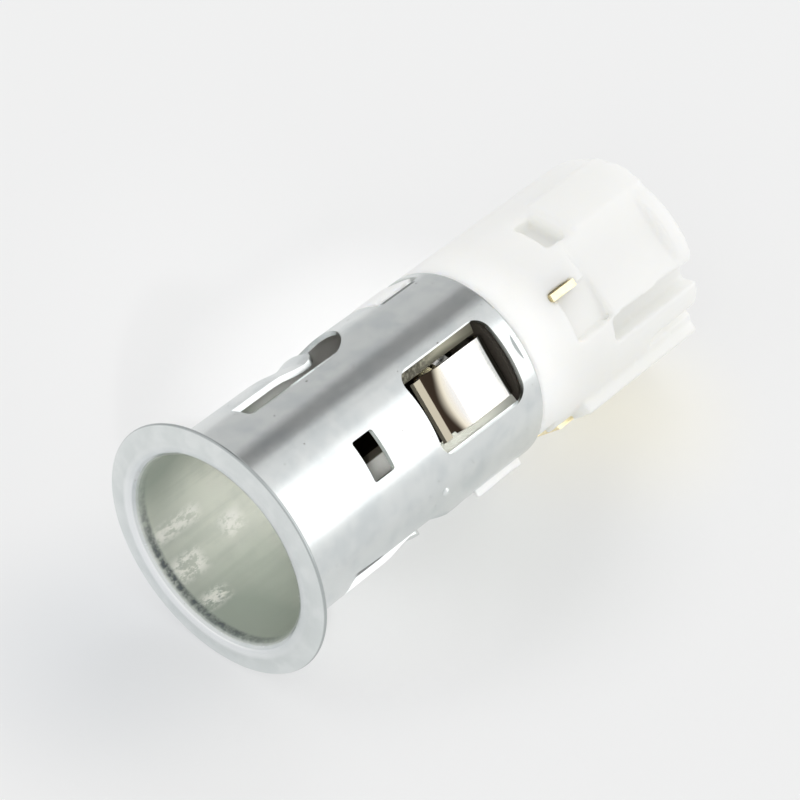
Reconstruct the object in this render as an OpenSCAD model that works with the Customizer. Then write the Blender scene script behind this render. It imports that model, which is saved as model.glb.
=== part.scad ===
// Twelve volt power socket for a car dashboard, lying on its side.
// Each piece is drawn in the socket's own frame: +Z runs from the mouth to the rear,
// the mouth's front is at height 0, and angle 0 (+X) is the side with the large window.
// laid() then turns the whole socket onto its side.

/* [Shell] */
// Inside radius of the socket bore
bore_r = 10.5; // [10:0.1:11]
// Thickness of the shell's sheet steel
shell_wall = 0.6; // [0.4:0.1:0.8]
// How much wider the drawn tube's bore is at its rear rim than in its whole front band
bore_draft = 0.1; // [0:0.05:0.2]
// Length of the shell from its mouth to its rear rim
shell_len = 37.5; // [35:0.5:42]
// Outside radius of the mouth flange
flange_r = 14.2; // [13.4:0.1:15]
// Inside radius of the bend between the tube and the flange
bend_r = 0.8; // [0.6:0.1:1.1]
// Radius of the flange's crowned front face
crown_r = 8; // [6:0.5:14]
// Rounding of the rear rim's outer corner
rim_round = 0.35; // [0.1:0.05:0.4]

/* [Side slots and tongues] */
// Length of the whole bore between the flange bend and the side slots
mouth_band = 7.1; // [6:0.1:9]
// Half width of a side slot
slot_half = 5.8; // [5:0.1:6.2]
// Rounding of a side slot's front corners
slot_corner = 0.8; // [0.4:0.1:1.2]
// Band of shell between a side slot and the longer latch slot
slot_web = 1; // [0.8:0.1:2]
// Half width of a spring tongue
tongue_half = 3; // [2.6:0.1:3.8]
// Distance from a tongue's tip to the end of its slot
tongue_gap = 4.8; // [4:0.2:7]
// Length of the bent part of a tongue
tongue_bent = 6.1; // [5.5:0.1:7]
// Distance from a tongue's lowest point to its tip
tongue_lip = 1.6; // [1.2:0.1:3]
// How far a tongue dips into the bore
tongue_dip = 0.5; // [0.4:0.1:1.2]
// How far the tip of a tongue stays below the shell
tongue_low = 0.1; // [0:0.1:0.4]
// Rounding of a tongue's tip
tongue_round = 1; // [0.6:0.1:2]

/* [Windows and marks] */
// Half width of the large window
window_half = 4.9; // [3.5:0.1:5.2]
// Length of the large window
window_len = 12.8; // [11:0.2:13]
// Rounding of the large window's corners
window_round = 1.7; // [1:0.1:2.5]
// Band of shell between the large window and the rear rim
window_bridge = 2.3; // [2:0.1:3]
// Half width of the small window
small_half = 2.3; // [1.5:0.1:2.8]
// Length of the small window
small_len = 2.9; // [2:0.1:3.5]
// Rounding of the small window's corners
small_round = 0.3; // [0.1:0.1:0.6]
// Distance between the two windows
window_spacing = 6.3; // [5:0.1:8]
// Depth of the crimp behind the large window
crimp_depth = 0.3; // [0.1:0.05:0.35]
// Length of the crimp along the shell
crimp_len = 0.5; // [0.3:0.1:0.8]
// Radius of the tool that pressed the crimp
crimp_r = 6; // [4:0.5:8]
// Radius of the stamped pip
pip_r = 0.6; // [0.4:0.05:0.8]
// Angle of the stamped pip from the large window
pip_angle = 45.5; // [40:0.5:50]
// How far the pip lies in front of the large window's front edge
pip_ahead = 0.4; // [0:0.1:1.5]

/* [Latches] */
// Half width of a latch arm
latch_half = 2.4; // [1.8:0.1:2.8]
// How far a latch stands above the shell
latch_rise = 0.5; // [0.2:0.1:0.8]
// How far the back latch's top lies under the shell's surface
latch_sink = 0.1; // [0:0.05:0.3]
// How much further back the front latch begins on its far side
latch_slant = 3.2; // [2:0.2:4]
// Gap beside a latch in its slot
latch_side_gap = 0.9; // [0.3:0.1:1.2]
// Gap behind a latch in its slot
latch_back_gap = 0.2; // [0.1:0.05:0.4]
// Band of shell between the latch slots and the rear rim
latch_bridge = 1.2; // [1:0.1:1.6]
// Length of the latch slot on the front side
front_latch_slot = 10.1; // [8:0.1:11]
// Gap in front of the latch on the front side
front_latch_gap = 2.6; // [1.5:0.1:3.5]
// Length of the latch slot on the back side
back_latch_slot = 6.4; // [5:0.1:7]
// Gap in front of the latch on the back side
back_latch_gap = 0.5; // [0.3:0.1:1]
// Thickness of a latch arm inside the shell
arm_t = 1.7; // [1.2:0.1:2]

/* [Housing] */
// Length of the housing behind the shell
housing_len = 25.9; // [24:0.5:30]
// Clearance between the housing and the bore
plug_gap = 0.1; // [0.05:0.05:0.2]
// Depth to which the housing's plug enters the shell
plug_depth = 2.1; // [1.8:0.1:3]
// Length of the full round collar behind the shell
collar_len = 6.8; // [6.2:0.1:7.5]
// Length of the round ring at the rear end
ring_len = 2.2; // [1.5:0.1:3]
// Distance of the flat face on the window side from the axis
flat_x = 10.1; // [9.8:0.1:10.6]
// Angle of the middle of that flat face
flat_angle = -4.5; // [-8:0.5:0]
// Distance of the recess floor behind the collar from the axis
recess_x = 9.6; // [9.4:0.1:9.9]
// Half width of that recess
recess_half = 2.6; // [2:0.1:3]
// Length of that recess
recess_len = 5.7; // [5:0.1:6.5]
// Angle of the middle of that recess
recess_angle = 6; // [3:0.5:9]
// Radius of the bottom of the deep groove
groove_r = 9; // [8.9:0.1:9.6]
// Width of the deep groove
groove_w = 2.8; // [2:0.1:3.4]
// Angle of the deep groove
groove_angle = 28; // [26:0.5:32]
// Length of the deep groove
groove_len = 13.7; // [10:0.1:14]
// Radius of the bottom of the shallow groove
nick_r = 10.1; // [9.8:0.1:10.6]
// Width of the shallow groove
nick_w = 1.5; // [1:0.1:2]
// Angle of the shallow groove
nick_angle = 56; // [54:0.5:58]
// Length of the shallow groove
nick_len = 7.4; // [5:0.1:10]
// How far the pad on the back side stands above the collar
pad_rise = 0.35; // [0.2:0.05:0.5]
// Length of the pad on the back side
pad_len = 11.4; // [9:0.1:12]
// Angle that the pad covers
pad_span = 33; // [25:1:36]
// Angle of the middle of the pad
pad_angle = -47.5; // [-50:0.5:-45]
// Distance of the pocket floor from the axis
pocket_x = 9.3; // [9:0.1:10]
// Width of the pocket
pocket_w = 4.8; // [3:0.1:5.2]
// Length of the pocket
pocket_len = 3; // [2:0.1:3.2]
// Band of housing between the pocket and the pad
pocket_gap = 1; // [0.8:0.1:1.5]
// Distance of the foot flats from the axis
foot_x = 11.5; // [11.4:0.1:12]
// Half width of a foot flat
foot_half = 5; // [4.5:0.1:5.5]
// Distance from the collar's front to the feet
foot_ahead = 7.5; // [6.5:0.1:9]

/* [Rear connector] */
// Radius of the connector cavity
cavity_r = 8.2; // [8:0.1:8.3]
// Depth of the connector cavity
cavity_depth = 14; // [12:0.5:14]
// Thickness of the brass strip
strip_t = 0.8; // [0.6:0.05:0.8]
// Width of a connector blade
blade_w = 6.3; // [4.8:0.1:6.5]
// Distance of the blades from the axis
blade_y = 3.9; // [3.7:0.1:4.3]
// Distance from the blade tips to the rear end
blade_short = 2.4; // [1:0.1:4]
// Clearance around brass strips in the housing
strip_gap = 0.1; // [0.05:0.05:0.15]
// Radius of the eye of the centre terminal
eye_r = 3.2; // [2.8:0.1:3.4]
// Width of the side contact's blade
side_blade_w = 2.8; // [2:0.1:2.8]
// Distance of the side contact's blade from the axis
side_blade_x = 4.8; // [4.6:0.1:5]
// Position of the side contact across the large window side
side_y = -1.8; // [-2:0.1:-1.6]
// Length of the side contact's tip
side_tip_len = 3.7; // [3:0.1:4]
// Distance from the side contact's tip back to the collar's rear edge
side_tip_ahead = 0.7; // [0:0.1:1]

/* [Ground strip] */
// Half width of the ground strip
ground_half = 2.2; // [1.6:0.1:2.4]
// Angle from the strip's middle to the middle of a prong
prong_angle = 22; // [21:0.5:24]
// Angle that a prong covers
prong_span = 8; // [6:0.5:9]
// How far the prongs reach into the shell
prong_len = 4.2; // [3.5:0.1:5]
// Gap between a prong and the bore
prong_gap = 0.05; // [0.02:0.01:0.08]
// Length of the yoke that joins the prongs behind the shell
yoke_len = 3; // [2:0.1:3.5]
// How far the strip's hump stands above the shell
hump_rise = 0.2; // [0:0.1:0.4]
// Length of the strip's hump
hump_len = 2.8; // [2.4:0.1:3]

/* [Contact clip and rivet] */
// Thickness of the contact clip
clip_t = 0.4; // [0.3:0.05:0.5]
// Radius of the contact clip's base
clip_base_r = 8; // [7.5:0.1:8.2]
// Outside radius of the clip fingers
finger_r = 9.8; // [9.5:0.1:10]
// Half width of a clip finger
finger_half = 3.4; // [3:0.1:3.5]
// Angle of the first finger from the large window's middle
clip_angle = 2; // [0:1:4]
// Length of a clip finger
finger_len = 10.4; // [9.5:0.1:11]
// How far a finger bends towards the axis
finger_dip = 1.2; // [0.8:0.1:1.6]
// Length of the bent end of a finger
finger_bend = 3; // [2.4:0.1:3.6]
// Outside radius of the heat washer
washer_r = 10.3; // [9:0.1:10.3]
// Distance of the washer's two flats from its middle
washer_flat = 8.2; // [7.5:0.1:8.3]
// Thickness of the heat washer
washer_t = 0.5; // [0.4:0.1:0.8]
// Radius of the centre contact
button_r = 4; // [3.4:0.1:4.6]
// Height of the centre contact
button_h = 1.2; // [0.9:0.1:1.6]
// Thickness of the centre contact
button_t = 0.4; // [0.3:0.05:0.5]
// Radius of the centre rivet's shank
rivet_r = 1.5; // [1.2:0.1:1.8]
// Clearance between the rivet and what it passes through
rivet_gap = 0.05; // [0.03:0.01:0.1]
// Radius of the rivet's heads
rivet_head_r = 2.5; // [2.2:0.1:2.7]
// Height of the rivet's heads
rivet_head_h = 0.9; // [0.7:0.1:1.2]
// Outside radius of the rear washer
rear_washer_r = 2.9; // [2.8:0.1:3]
// Thickness of the rear washer
rear_washer_t = 0.5; // [0.4:0.1:0.8]

/* [Hidden] */
$fn = 96;
// Cutters run this far past the face that they cut
over = 1;
// Joined bodies of one piece run this far into each other
lap = 0.5;

// Angles of the latches: the front side faces the viewer and the back side the other way
front_side = 90;
back_side = -90;
// Angle of the side on which the socket lies, halfway between its two feet
down_angle = 135;
foot_angles = [90, 180];

// Shell
shell_r = bore_r + shell_wall;
bore_start = bend_r + shell_wall;
bend_c = shell_r + bend_r;
edge_r = shell_wall / 2;
crown_a = asin((flange_r - edge_r - bend_c) / (crown_r - edge_r));
edge_z = crown_r - (crown_r - edge_r) * cos(crown_a);
latch_end = shell_len - latch_bridge;
front_slot_start = latch_end - front_latch_slot;
back_slot_start = latch_end - back_latch_slot;
slot_start = bore_start + mouth_band;
slot_end = front_slot_start - slot_web;
tongue_tip = slot_end - tongue_gap;
tongue_bend = tongue_tip - tongue_bent;
window_end = shell_len - window_bridge;
window_start = window_end - window_len;
small_end = window_start - window_spacing;
latch_slot_half = latch_half + latch_side_gap;

// Housing
rear_end = shell_len + housing_len;
plug_r = bore_r - plug_gap;
plug_front = shell_len - plug_depth;
collar_end = shell_len + collar_len;
ring_start = rear_end - ring_len;
recess_end = collar_end + recess_len;
pad_start = rear_end - pad_len;
foot_start = shell_len + foot_ahead;
foot_low = (foot_x + foot_half) * cos(45);
cavity_floor = rear_end - cavity_depth;
blade_end = rear_end - blade_short;
latch_top = shell_r + latch_rise;

// Clip and rivet stack, from the housing's front face towards the mouth
clip_back = plug_front - washer_t;
clip_front = clip_back - clip_t;
button_front = clip_front - button_h;
eye_back = cavity_floor + strip_t;
clench_start = eye_back + rear_washer_t;
rivet_bore_r = rivet_r + rivet_gap;

// Ground strip
prong_r = bore_r - prong_gap;
ground_end = foot_start - strip_gap;
hump_r = shell_r + hump_rise;
side_tip_start = collar_end - side_tip_ahead;

// The socket rests on its flange and on the rear corners of its feet
pitch = atan((flange_r - foot_low) / (rear_end - edge_z));

// Turns the upright socket onto its side, with the middle of the bore's mouth at the origin
module laid() {
    rotate([0, pitch, 0])
        rotate([down_angle - 90, 0, 0])
            rotate([0, 90, 0])
                rotate([0, 0, 180])
                    translate([0, 0, -bore_start])
                        children();
}

// Points of a strip of thickness t whose middle line runs through the points of path
function unit(v) = v / norm(v);
function turn(v) = [-v[1], v[0]];
function side_at(path, i) = let(
    last = len(path) - 1,
    a = unit(path[min(i + 1, last)] - path[min(i, last - 1)]),
    b = unit(path[max(i, 1)] - path[max(i - 1, 0)]),
    m = unit(a + b)) turn(m) / (m * a);
function strip(path, t) = concat(
    [for (i = [0:len(path) - 1]) path[i] + side_at(path, i) * t / 2],
    [for (i = [len(path) - 1:-1:0]) path[i] - side_at(path, i) * t / 2]);

// Points of an arc after its first one, from angle a0 to a1
function arc(c, r, a0, a1, n) = [for (i = [1:n]) c + r * [cos(a0 + i * (a1 - a0) / n),
    sin(a0 + i * (a1 - a0) / n)]];

// Rectangle of half width half from v0 to v1, with its four corners rounded
module rounded_plan(half, v0, v1, r) {
    translate([-half + r, v0])
        square([2 * (half - r), v1 - v0]);
    translate([-half, v0 + r])
        square([2 * half, v1 - v0 - 2 * r]);
    for (u = [-half + r, half - r], v = [v0 + r, v1 - r])
        translate([u, v])
            circle(r);
}

// Rectangle from v0 to v1 with the two corners at v1 rounded
module round_end_plan(half, v0, v1, r) {
    translate([-half, v0])
        square([2 * half, v1 - v0 - r]);
    translate([-half + r, v0])
        square([2 * (half - r), v1 - v0]);
    for (u = [-half + r, half - r])
        translate([u, v1 - r])
            circle(r);
}

// Extrudes a plan, drawn across and along the socket, outward from r0 to r1 at angle a
module outward(a, r0, r1) {
    rotate([0, 0, a])
        translate([r0, 0, 0])
            rotate([90, 0, 90])
                linear_extrude(r1 - r0)
                    children();
}

// Section of the shell: tube, bend and crowned flange with a round edge
module shell_section() {
    bend = [bend_c, bore_start];
    crown = [bend_c, crown_r];
    edge = [flange_r - edge_r, edge_z];
    crown_end = 270 + crown_a;
    polygon(concat(
        [[bore_r + bore_draft, shell_len], [bore_r, slot_start], [bore_r, bore_start]],
        arc(bend, bore_start, 180, 270, 8),
        arc(crown, crown_r, 270, crown_end, 4),
        arc(edge, edge_r, crown_end, crown_end + 180, 8),
        arc(crown, crown_r - shell_wall, crown_end, 270, 4),
        arc(bend, bend_r, 270, 180, 8),
        [[shell_r, shell_len - rim_round]],
        arc([shell_r - rim_round, shell_len - rim_round], rim_round, 0, 90, 4)));
}

// Plan of a side slot, which leaves the straight root of its tongue standing
module side_slot_plan() {
    difference() {
        union() {
            rounded_plan(slot_half, slot_start, slot_end - slot_half + slot_corner, slot_corner);
            translate([0, slot_end - slot_half])
                circle(slot_half);
        }
        translate([-tongue_half, slot_start])
            square([2 * tongue_half, tongue_bend - slot_start]);
    }
}

// Bent end of a spring tongue
module tongue(a) {
    mid_r = bore_r + shell_wall / 2;
    crest = tongue_tip - tongue_lip;
    path = [[mid_r, tongue_bend],
        [mid_r - 0.1 * tongue_dip, tongue_bend + 0.25 * (crest - tongue_bend)],
        [mid_r - 0.7 * tongue_dip, crest - 0.35 * (crest - tongue_bend)],
        [mid_r - tongue_dip, crest],
        [mid_r - 0.7 * tongue_dip, crest + 0.45 * tongue_lip],
        [mid_r - tongue_low, tongue_tip]];
    intersection() {
        rotate_extrude()
            polygon(strip(path, shell_wall));
        outward(a, bore_r - tongue_dip - over, shell_r + over)
            round_end_plan(tongue_half, tongue_bend, tongue_tip, tongue_round);
    }
}

// Slot in the shell for a latch
module latch_slot(a, start) {
    outward(a, bore_r - over, shell_r + over)
        rounded_plan(latch_slot_half, start, latch_end, small_round);
}

module shell() {
    cut_from = bore_r - over;
    cut_to = shell_r + over;
    color("silver") {
        difference() {
            rotate_extrude()
                shell_section();
            for (a = [front_side, back_side])
                outward(a, cut_from, cut_to)
                    side_slot_plan();
            outward(0, cut_from, cut_to)
                rounded_plan(window_half, window_start, window_end, window_round);
            outward(0, cut_from, cut_to)
                rounded_plan(small_half, small_end - small_len, small_end, small_round);
            latch_slot(front_side, front_slot_start);
            latch_slot(back_side, back_slot_start);
            translate([shell_r - crimp_depth + crimp_r, 0, shell_len - window_bridge / 2])
                cylinder(r = crimp_r, h = crimp_len, center = true);
        }
        for (a = [front_side, back_side])
            tongue(a);
        rotate([0, 0, pip_angle])
            translate([shell_r - pip_r / 2, 0, window_start - pip_ahead])
                sphere(pip_r, $fn = 24);
    }
}

// Latch arm inside the shell, with the block that stands in its slot
module latch(a, start, top, slant) {
    block_end = latch_end - latch_back_gap;
    intersection() {
        rotate_extrude()
            translate([plug_r - arm_t, start + lap])
                square([arm_t, plug_front - start - lap + over]);
        outward(a, 0, shell_r)
            rounded_plan(latch_half, start, plug_front + over, small_round);
    }
    outward(a, plug_r - arm_t / 2, top)
        polygon([[-latch_half, start], [latch_half, start + slant],
            [latch_half, block_end], [-latch_half, block_end]]);
}

// Fork of the ground strip: a curved plate with the part between its prongs cut away
module ground_fork(r_in, r_out, spare, v0, v1) {
    span = 2 * prong_angle + prong_span + 2 * spare;
    inner_half = r_in * sin(prong_angle - prong_span / 2 - spare);
    rotate([0, 0, front_side - span / 2])
        difference() {
            rotate_extrude(angle = span)
                translate([r_in, v0])
                    square([r_out - r_in, v1 - v0]);
            outward(span / 2, r_in / 2, r_out + over)
                translate([-inner_half, v0 - over])
                    square([2 * inner_half, shell_len + strip_gap - v0 + over]);
        }
}

// Space for the ground strip: its fork, its hump and the slot for its blade
module ground_space() {
    slot_half = ground_half + strip_gap;
    slot_y = blade_y - strip_t / 2 - strip_gap;
    slot_z = ground_end - strip_t - strip_gap;
    ground_fork(prong_r - strip_t - strip_gap, shell_r + over, 1, plug_front - over,
        shell_len + yoke_len + strip_gap);
    translate([-slot_half, prong_r - strip_t - 3 * strip_gap, shell_len + yoke_len / 2])
        cube([2 * slot_half, foot_x, foot_start - shell_len - yoke_len / 2]);
    translate([-slot_half, slot_y, slot_z])
        cube([2 * slot_half, foot_x, strip_t + 2 * strip_gap]);
    translate([-blade_w / 2 - strip_gap, slot_y, slot_z])
        cube([blade_w + 2 * strip_gap, strip_t + 2 * strip_gap, cavity_floor - slot_z + over]);
}

// Space for the side contact: its tip in the housing's side and its tail into the cavity
module side_contact_space() {
    y0 = side_y - strip_t / 2 - strip_gap;
    w = strip_t + 2 * strip_gap;
    translate([side_blade_x - strip_gap, y0, side_tip_start - strip_gap])
        cube([shell_r, w, side_tip_len + 2 * strip_gap]);
    translate([side_blade_x - strip_gap, y0, side_tip_start - strip_gap])
        cube([side_blade_w + 2 * strip_gap, w, cavity_floor - side_tip_start + over]);
}

module housing() {
    color("ivory")
        difference() {
            union() {
                translate([0, 0, plug_front])
                    cylinder(r = plug_r, h = plug_depth + over);
                translate([0, 0, shell_len])
                    cylinder(r = shell_r, h = housing_len);
                for (a = foot_angles)
                    rotate([0, 0, a])
                        translate([0, -foot_half, foot_start])
                            cube([foot_x, 2 * foot_half, rear_end - foot_start]);
                rotate([0, 0, pad_angle - pad_span / 2])
                    rotate_extrude(angle = pad_span)
                        translate([cavity_r + over, pad_start])
                            square([shell_r + pad_rise - cavity_r - over, pad_len]);
                latch(front_side, front_slot_start + front_latch_gap, latch_top, latch_slant);
                latch(back_side, back_slot_start + back_latch_gap, shell_r - latch_sink, 0);
            }
            translate([0, 0, cavity_floor])
                cylinder(r = cavity_r, h = cavity_depth + over);
            translate([0, 0, plug_front - over])
                cylinder(r = rivet_bore_r, h = cavity_floor - plug_front + 2 * over);
            rotate([0, 0, flat_angle])
                translate([flat_x, -bore_r / 2, recess_end - over])
                    cube([shell_r, bore_r, ring_start - recess_end + over]);
            rotate([0, 0, recess_angle])
                translate([recess_x, -recess_half, collar_end])
                    cube([shell_r, 2 * recess_half, recess_len]);
            rotate([0, 0, groove_angle])
                translate([groove_r, -groove_w / 2, rear_end - groove_len])
                    cube([shell_r, groove_w, groove_len + over]);
            rotate([0, 0, nick_angle])
                translate([nick_r, -nick_w / 2, rear_end - nick_len])
                    cube([shell_r, nick_w, nick_len + over]);
            rotate([0, 0, pad_angle + pad_span / 2 - atan(pocket_w / 2 / pocket_x)])
                translate([pocket_x, -pocket_w / 2, pad_start - pocket_gap - pocket_len])
                    cube([shell_r, pocket_w, pocket_len]);
            ground_space();
            side_contact_space();
        }
}

// Spring clip that grips the plug: a base plate with two fingers
module contact_clip() {
    mid_r = finger_r - clip_t / 2;
    tip = clip_back - finger_len;
    base_z = clip_back - clip_t / 2;
    path = [[clip_base_r - 4 * lap, base_z],
        [mid_r - 2.6 * clip_t, base_z],
        [mid_r - 0.8 * clip_t, base_z - 0.9 * clip_t],
        [mid_r, base_z - 2.8 * clip_t],
        [mid_r, tip + 1.4 * finger_bend],
        [mid_r - 0.1 * finger_dip, tip + finger_bend],
        [mid_r - 0.5 * finger_dip, tip + 0.75 * finger_bend],
        [mid_r - finger_dip, tip + 0.55 * finger_bend],
        [mid_r - finger_dip, tip + 0.4 * finger_bend],
        [mid_r - 0.6 * finger_dip, tip + 0.2 * finger_bend],
        [mid_r - 0.25 * finger_dip, tip]];
    color("gainsboro") {
        difference() {
            translate([0, 0, clip_front])
                cylinder(r = clip_base_r - lap, h = clip_t);
            translate([0, 0, clip_front - over])
                cylinder(r = rivet_bore_r, h = clip_t + 2 * over);
        }
        for (a = [clip_angle, clip_angle + 180])
            rotate([90, 0, a])
                linear_extrude(2 * finger_half, center = true)
                    polygon(strip(path, clip_t));
    }
}

// Washer with two flats, which keeps the hot clip off the housing
module heat_washer() {
    color("dimgray")
        translate([0, 0, clip_back])
            difference() {
                cylinder(r = washer_r, h = washer_t);
                for (side = [0, 180])
                    rotate([0, 0, side])
                        translate([-washer_r, washer_flat, -over])
                            cube([2 * washer_r, washer_r, washer_t + 2 * over]);
                translate([0, 0, -over])
                    cylinder(r = rivet_bore_r, h = washer_t + 2 * over);
            }
}

// Dished button that the plug's tip presses on
module centre_contact() {
    flat_r = 0.7 * button_r;
    dish = button_front + button_t;
    color("gainsboro")
        difference() {
            rotate_extrude()
                polygon([[0, button_front], [flat_r, button_front],
                    [button_r, clip_front - button_t], [button_r, clip_front],
                    [button_r - button_t, clip_front], [flat_r - button_t / 2, dish], [0, dish]]);
            translate([0, 0, button_front - over])
                cylinder(r = rivet_bore_r, h = button_h + 2 * over);
        }
}

// Rivet that clamps the clip, the housing and the centre terminal together
module centre_rivet() {
    flat_r = 0.6 * rivet_head_r;
    side_h = 0.4 * rivet_head_h;
    head_front = button_front - rivet_head_h;
    clench_end = clench_start + rivet_head_h;
    color("goldenrod")
        rotate_extrude()
            polygon([[0, head_front], [flat_r, head_front], [rivet_head_r, button_front - side_h],
                [rivet_head_r, button_front], [rivet_r, button_front], [rivet_r, clench_start],
                [rivet_head_r, clench_start], [rivet_head_r, clench_start + side_h],
                [flat_r, clench_end], [0, clench_end]]);
}

// Plain washer under the rivet's clenched end
module rear_washer() {
    color("silver")
        translate([0, 0, eye_back])
            difference() {
                cylinder(r = rear_washer_r, h = rear_washer_t);
                translate([0, 0, -over])
                    cylinder(r = rivet_bore_r, h = rear_washer_t + 2 * over);
            }
}

// Connector blade with a bevelled tip, drawn across and along the socket
module blade_plan(w, v0, v1) {
    bevel = w / 6;
    polygon([[-w / 2, v0], [w / 2, v0], [w / 2, v1 - 2 * bevel], [w / 2 - bevel, v1],
        [-w / 2 + bevel, v1], [-w / 2, v1 - 2 * bevel]]);
}

// Supply terminal: an eye on the rivet, bent up into a blade
module centre_terminal() {
    color("goldenrod")
        difference() {
            union() {
                translate([0, 0, cavity_floor]) {
                    cylinder(r = eye_r, h = strip_t);
                    translate([-blade_w / 2, -blade_y - strip_t / 2, 0])
                        cube([blade_w, blade_y - eye_r / 2, strip_t]);
                }
                outward(-90, blade_y - strip_t / 2, blade_y + strip_t / 2)
                    blade_plan(blade_w, cavity_floor, blade_end);
            }
            translate([0, 0, cavity_floor - over])
                cylinder(r = rivet_bore_r, h = strip_t + 2 * over);
        }
}

// Ground terminal: two prongs under the shell, a yoke, a hump, and a blade in the connector
module ground_terminal() {
    yoke_mid = prong_r - (strip_t + strip_gap) / 2;
    hump_mid = hump_r - strip_t / 2;
    hump_start = ground_end - hump_len;
    path = [[yoke_mid, shell_len + yoke_len / 2],
        [yoke_mid, hump_start],
        [hump_mid, hump_start + 0.3 * hump_len],
        [hump_mid, ground_end - strip_t / 2],
        [blade_y, ground_end - strip_t / 2]];
    color("goldenrod") {
        ground_fork(prong_r - strip_t, prong_r, 0, shell_len - prong_len, shell_len + yoke_len);
        translate([-ground_half, 0, 0])
            rotate([90, 0, 90])
                linear_extrude(2 * ground_half)
                    polygon(strip(path, strip_t));
        outward(90, blade_y - strip_t / 2, blade_y + strip_t / 2)
            blade_plan(blade_w, ground_end - strip_t, blade_end);
    }
}

// Side contact: a plate on edge whose tip shows in the housing's side
module side_contact() {
    tip_x = shell_r - side_blade_x;
    tip_end = side_tip_start + side_tip_len;
    bevel = side_blade_w / 3;
    color("goldenrod")
        translate([side_blade_x, side_y + strip_t / 2, 0])
            rotate([90, 0, 0])
                linear_extrude(strip_t)
                    polygon([[0, side_tip_start], [tip_x, side_tip_start], [tip_x, tip_end],
                        [side_blade_w, tip_end], [side_blade_w, blade_end - bevel],
                        [side_blade_w - bevel, blade_end], [bevel, blade_end],
                        [0, blade_end - bevel]]);
}

laid() shell();
laid() housing();
laid() contact_clip();
laid() heat_washer();
laid() centre_contact();
laid() centre_rivet();
laid() rear_washer();
laid() centre_terminal();
laid() ground_terminal();
laid() side_contact();
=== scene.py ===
"""Looks of a twelve volt car power socket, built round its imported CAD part.

The socket lies on its flange's edge and on two feet of its housing. Sheet steel, nickel,
brass, nylon and fibre each have their own finish. The housing and the spring clip are
softened copies of their nodes, and two thin strips line the large window.
"""

import logging
import math
from dataclasses import dataclass
from enum import Enum

import bpy
from mathutils import Matrix, Vector


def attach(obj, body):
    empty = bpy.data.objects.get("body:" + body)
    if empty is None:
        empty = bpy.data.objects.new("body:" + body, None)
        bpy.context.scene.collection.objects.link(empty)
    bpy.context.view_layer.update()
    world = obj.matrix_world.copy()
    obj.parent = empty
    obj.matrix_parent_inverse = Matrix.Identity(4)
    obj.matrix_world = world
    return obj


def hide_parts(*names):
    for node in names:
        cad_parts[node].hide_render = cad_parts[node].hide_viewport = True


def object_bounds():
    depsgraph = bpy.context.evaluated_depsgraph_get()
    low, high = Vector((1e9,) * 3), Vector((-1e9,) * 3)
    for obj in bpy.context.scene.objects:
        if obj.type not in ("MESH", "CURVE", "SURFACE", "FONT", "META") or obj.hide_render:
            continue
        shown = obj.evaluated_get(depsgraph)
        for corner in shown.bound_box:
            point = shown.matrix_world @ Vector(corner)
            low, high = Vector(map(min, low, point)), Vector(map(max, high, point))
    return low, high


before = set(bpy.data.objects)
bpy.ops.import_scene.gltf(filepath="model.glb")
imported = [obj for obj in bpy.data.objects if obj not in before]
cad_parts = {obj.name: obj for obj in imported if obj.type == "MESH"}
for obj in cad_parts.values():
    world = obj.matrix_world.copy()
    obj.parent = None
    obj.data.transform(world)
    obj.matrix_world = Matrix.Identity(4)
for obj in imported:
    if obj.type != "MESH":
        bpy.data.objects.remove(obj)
CAD_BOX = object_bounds()

LOG = logging.getLogger("socket")
MM = 0.001
Socket = bpy.types.NodeSocket
Colour = tuple[float, float, float]
Point = tuple[float, float, float]
Band = tuple[float, float, float]
Patch = tuple[Band, Band]


class Slot(Enum):
    """The material slots."""

    STEEL = "plated_steel"
    NYLON = "white_nylon"
    NICKEL = "nickel"
    BRASS = "brass"
    FIBRE = "fibre"


@dataclass(frozen=True)
class SocketSpace:
    """The socket's own frame, in millimetres.

    Height runs from the mouth to the rear, and angle 0 is the side with the large window.
    """

    pitch: float = 2.3082
    roll: float = 45.0
    bore_start: float = 1.4

    def to_row(self) -> Matrix:
        """Returns the turn and shift from this frame to the row frame, in millimetres."""
        turns = (
            Matrix.Rotation(math.radians(self.pitch), 4, "Y")
            @ Matrix.Rotation(math.radians(self.roll), 4, "X")
            @ Matrix.Rotation(math.radians(90), 4, "Y")
            @ Matrix.Rotation(math.radians(180), 4, "Z")
        )
        return turns @ Matrix.Translation((0, 0, -self.bore_start))

    def place(self, angle: float, radius: float, height: float) -> Vector:
        """Finds a point of the socket in the row frame.

        Args:
            angle: degrees round the axis, from the large window's side.
            radius: millimetres from the axis.
            height: millimetres from the mouth towards the rear.

        Returns:
            The point in metres.
        """
        a = math.radians(angle)
        local = Vector((radius * math.cos(a), radius * math.sin(a), height))
        return (self.to_row() @ local) * MM


SPACE = SocketSpace()


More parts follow.
